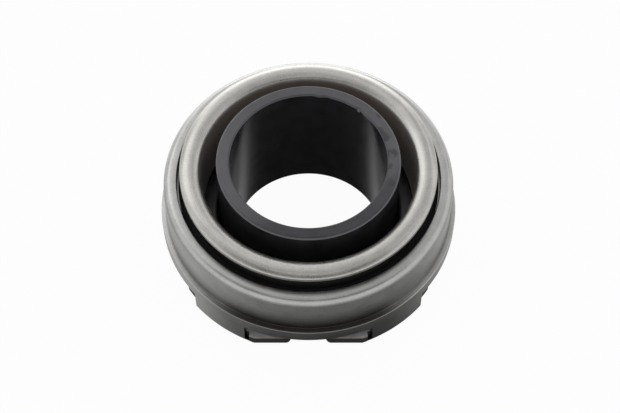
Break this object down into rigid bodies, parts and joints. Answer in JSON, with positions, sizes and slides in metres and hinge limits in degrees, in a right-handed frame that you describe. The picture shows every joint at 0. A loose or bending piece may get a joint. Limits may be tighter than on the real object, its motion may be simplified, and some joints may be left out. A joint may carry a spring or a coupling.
{
  "type": "clutch release bearing",
  "caption": "Self-centring clutch release bearing: moulded guide sleeve, pressed steel cover crimped on a notched back plate, and a turning contact ring for the clutch fingers.",
  "frame": {"origin": "on the bore's axis, at the rear end of the guide sleeve, which the part stands on", "axes": "+Z along the bore towards the contact ring and the clutch; -Y towards the notched ear that the picture shows in front"},
  "size_m": [0.06, 0.06, 0.029],
  "materials": {
    "sleeve_nylon": "black glass-filled nylon, moulded satin",
    "plate_steel": "stamped steel, dull, with dark cut edges",
    "cover_steel": "pressed steel, satin",
    "contact_steel": "hardened steel, fine turning marks round the axis",
    "race_steel": "ground bearing steel",
    "ball_steel": "polished bearing steel",
    "spring_steel": "blued spring strip",
    "seal_rubber": "black nitrile rubber, matte",
    "cage_nylon": "moulded nylon, natural brown"
  },
  "bodies": {
    "carrier": {"guide_sleeve": "sleeve_nylon", "back_plate": "plate_steel", "cover": "cover_steel"},
    "spring": {"wave_spring": "spring_steel"},
    "outer_race": {"outer_ring": "race_steel", "front_seal": "seal_rubber", "rear_seal": "seal_rubber"},
    "contact": {"contact_ring": "contact_steel"},
    "cage": {"ball_cage": "cage_nylon"},
    "ball_1": {"ball_1": "ball_steel"},
    "ball_2": {"ball_2": "ball_steel"},
    "ball_3": {"ball_3": "ball_steel"},
    "ball_4": {"ball_4": "ball_steel"},
    "ball_5": {"ball_5": "ball_steel"},
    "ball_6": {"ball_6": "ball_steel"},
    "ball_7": {"ball_7": "ball_steel"},
    "ball_8": {"ball_8": "ball_steel"},
    "ball_9": {"ball_9": "ball_steel"},
    "ball_10": {"ball_10": "ball_steel"},
    "ball_11": {"ball_11": "ball_steel"},
    "ball_12": {"ball_12": "ball_steel"},
    "ball_13": {"ball_13": "ball_steel"},
    "ball_14": {"ball_14": "ball_steel"},
    "ball_15": {"ball_15": "ball_steel"},
    "ball_16": {"ball_16": "ball_steel"},
    "ball_17": {"ball_17": "ball_steel"},
    "ball_18": {"ball_18": "ball_steel"},
    "ball_19": {"ball_19": "ball_steel"},
    "ball_20": {"ball_20": "ball_steel"}
  },
  "joints": [
    {"name": "float_x", "type": "slide", "parent": "carrier", "child": "spring", "axis": [1, 0, 0], "range_m": [-0.00045, 0.00045]},
    {"name": "float_y", "type": "slide", "parent": "spring", "child": "outer_race", "axis": [0, 1, 0], "range_m": [-0.00045, 0.00045]},
    {"name": "contact_spin", "type": "hinge", "parent": "outer_race", "child": "contact", "pos_m": [0, 0, 0.0159], "axis": [0, 0, 1], "continuous": true},
    {"name": "cage_spin", "type": "hinge", "parent": "outer_race", "child": "cage", "pos_m": [0, 0, 0.0159], "axis": [0, 0, 1], "continuous": true},
    {"name": "ball_1_roll", "type": "hinge", "parent": "cage", "child": "ball_1", "pos_m": [0.02298, 0.00747, 0.0159], "axis": [0.6725, 0.2185, 0.7071], "continuous": true},
    {"name": "ball_2_roll", "type": "hinge", "parent": "cage", "child": "ball_2", "pos_m": [0.01955, 0.0142, 0.0159], "axis": [0.5721, 0.4156, 0.7071], "continuous": true},
    {"name": "ball_3_roll", "type": "hinge", "parent": "cage", "child": "ball_3", "pos_m": [0.0142, 0.01955, 0.0159], "axis": [0.4156, 0.5721, 0.7071], "continuous": true},
    {"name": "ball_4_roll", "type": "hinge", "parent": "cage", "child": "ball_4", "pos_m": [0.00747, 0.02298, 0.0159], "axis": [0.2185, 0.6725, 0.7071], "continuous": true},
    {"name": "ball_5_roll", "type": "hinge", "parent": "cage", "child": "ball_5", "pos_m": [0, 0.02416, 0.0159], "axis": [0, 0.7071, 0.7071], "continuous": true},
    {"name": "ball_6_roll", "type": "hinge", "parent": "cage", "child": "ball_6", "pos_m": [-0.00747, 0.02298, 0.0159], "axis": [-0.2185, 0.6725, 0.7071], "continuous": true},
    {"name": "ball_7_roll", "type": "hinge", "parent": "cage", "child": "ball_7", "pos_m": [-0.0142, 0.01955, 0.0159], "axis": [-0.4156, 0.5721, 0.7071], "continuous": true},
    {"name": "ball_8_roll", "type": "hinge", "parent": "cage", "child": "ball_8", "pos_m": [-0.01955, 0.0142, 0.0159], "axis": [-0.5721, 0.4156, 0.7071], "continuous": true},
    {"name": "ball_9_roll", "type": "hinge", "parent": "cage", "child": "ball_9", "pos_m": [-0.02298, 0.00747, 0.0159], "axis": [-0.6725, 0.2185, 0.7071], "continuous": true},
    {"name": "ball_10_roll", "type": "hinge", "parent": "cage", "child": "ball_10", "pos_m": [-0.02416, 0, 0.0159], "axis": [-0.7071, 0, 0.7071], "continuous": true},
    {"name": "ball_11_roll", "type": "hinge", "parent": "cage", "child": "ball_11", "pos_m": [-0.02298, -0.00747, 0.0159], "axis": [-0.6725, -0.2185, 0.7071], "continuous": true},
    {"name": "ball_12_roll", "type": "hinge", "parent": "cage", "child": "ball_12", "pos_m": [-0.01955, -0.0142, 0.0159], "axis": [-0.5721, -0.4156, 0.7071], "continuous": true},
    {"name": "ball_13_roll", "type": "hinge", "parent": "cage", "child": "ball_13", "pos_m": [-0.0142, -0.01955, 0.0159], "axis": [-0.4156, -0.5721, 0.7071], "continuous": true},
    {"name": "ball_14_roll", "type": "hinge", "parent": "cage", "child": "ball_14", "pos_m": [-0.00747, -0.02298, 0.0159], "axis": [-0.2185, -0.6725, 0.7071], "continuous": true},
    {"name": "ball_15_roll", "type": "hinge", "parent": "cage", "child": "ball_15", "pos_m": [0, -0.02416, 0.0159], "axis": [0, -0.7071, 0.7071], "continuous": true},
    {"name": "ball_16_roll", "type": "hinge", "parent": "cage", "child": "ball_16", "pos_m": [0.00747, -0.02298, 0.0159], "axis": [0.2185, -0.6725, 0.7071], "continuous": true},
    {"name": "ball_17_roll", "type": "hinge", "parent": "cage", "child": "ball_17", "pos_m": [0.0142, -0.01955, 0.0159], "axis": [0.4156, -0.5721, 0.7071], "continuous": true},
    {"name": "ball_18_roll", "type": "hinge", "parent": "cage", "child": "ball_18", "pos_m": [0.01955, -0.0142, 0.0159], "axis": [0.5721, -0.4156, 0.7071], "continuous": true},
    {"name": "ball_19_roll", "type": "hinge", "parent": "cage", "child": "ball_19", "pos_m": [0.02298, -0.00747, 0.0159], "axis": [0.6725, -0.2185, 0.7071], "continuous": true},
    {"name": "ball_20_roll", "type": "hinge", "parent": "cage", "child": "ball_20", "pos_m": [0.02416, 0, 0.0159], "axis": [0.7071, 0, 0.7071], "continuous": true}
  ],
  "couplings": [
    {"joint": "cage_spin", "follows": "contact_spin", "ratio": 0.47439},
    {"joint": "ball_1_roll", "follows": "contact_spin", "ratio": -6.8847},
    {"joint": "ball_2_roll", "follows": "contact_spin", "ratio": -6.8847},
    {"joint": "ball_3_roll", "follows": "contact_spin", "ratio": -6.8847},
    {"joint": "ball_4_roll", "follows": "contact_spin", "ratio": -6.8847},
    {"joint": "ball_5_roll", "follows": "contact_spin", "ratio": -6.8847},
    {"joint": "ball_6_roll", "follows": "contact_spin", "ratio": -6.8847},
    {"joint": "ball_7_roll", "follows": "contact_spin", "ratio": -6.8847},
    {"joint": "ball_8_roll", "follows": "contact_spin", "ratio": -6.8847},
    {"joint": "ball_9_roll", "follows": "contact_spin", "ratio": -6.8847},
    {"joint": "ball_10_roll", "follows": "contact_spin", "ratio": -6.8847},
    {"joint": "ball_11_roll", "follows": "contact_spin", "ratio": -6.8847},
    {"joint": "ball_12_roll", "follows": "contact_spin", "ratio": -6.8847},
    {"joint": "ball_13_roll", "follows": "contact_spin", "ratio": -6.8847},
    {"joint": "ball_14_roll", "follows": "contact_spin", "ratio": -6.8847},
    {"joint": "ball_15_roll", "follows": "contact_spin", "ratio": -6.8847},
    {"joint": "ball_16_roll", "follows": "contact_spin", "ratio": -6.8847},
    {"joint": "ball_17_roll", "follows": "contact_spin", "ratio": -6.8847},
    {"joint": "ball_18_roll", "follows": "contact_spin", "ratio": -6.8847},
    {"joint": "ball_19_roll", "follows": "contact_spin", "ratio": -6.8847},
    {"joint": "ball_20_roll", "follows": "contact_spin", "ratio": -6.8847}
  ]
}
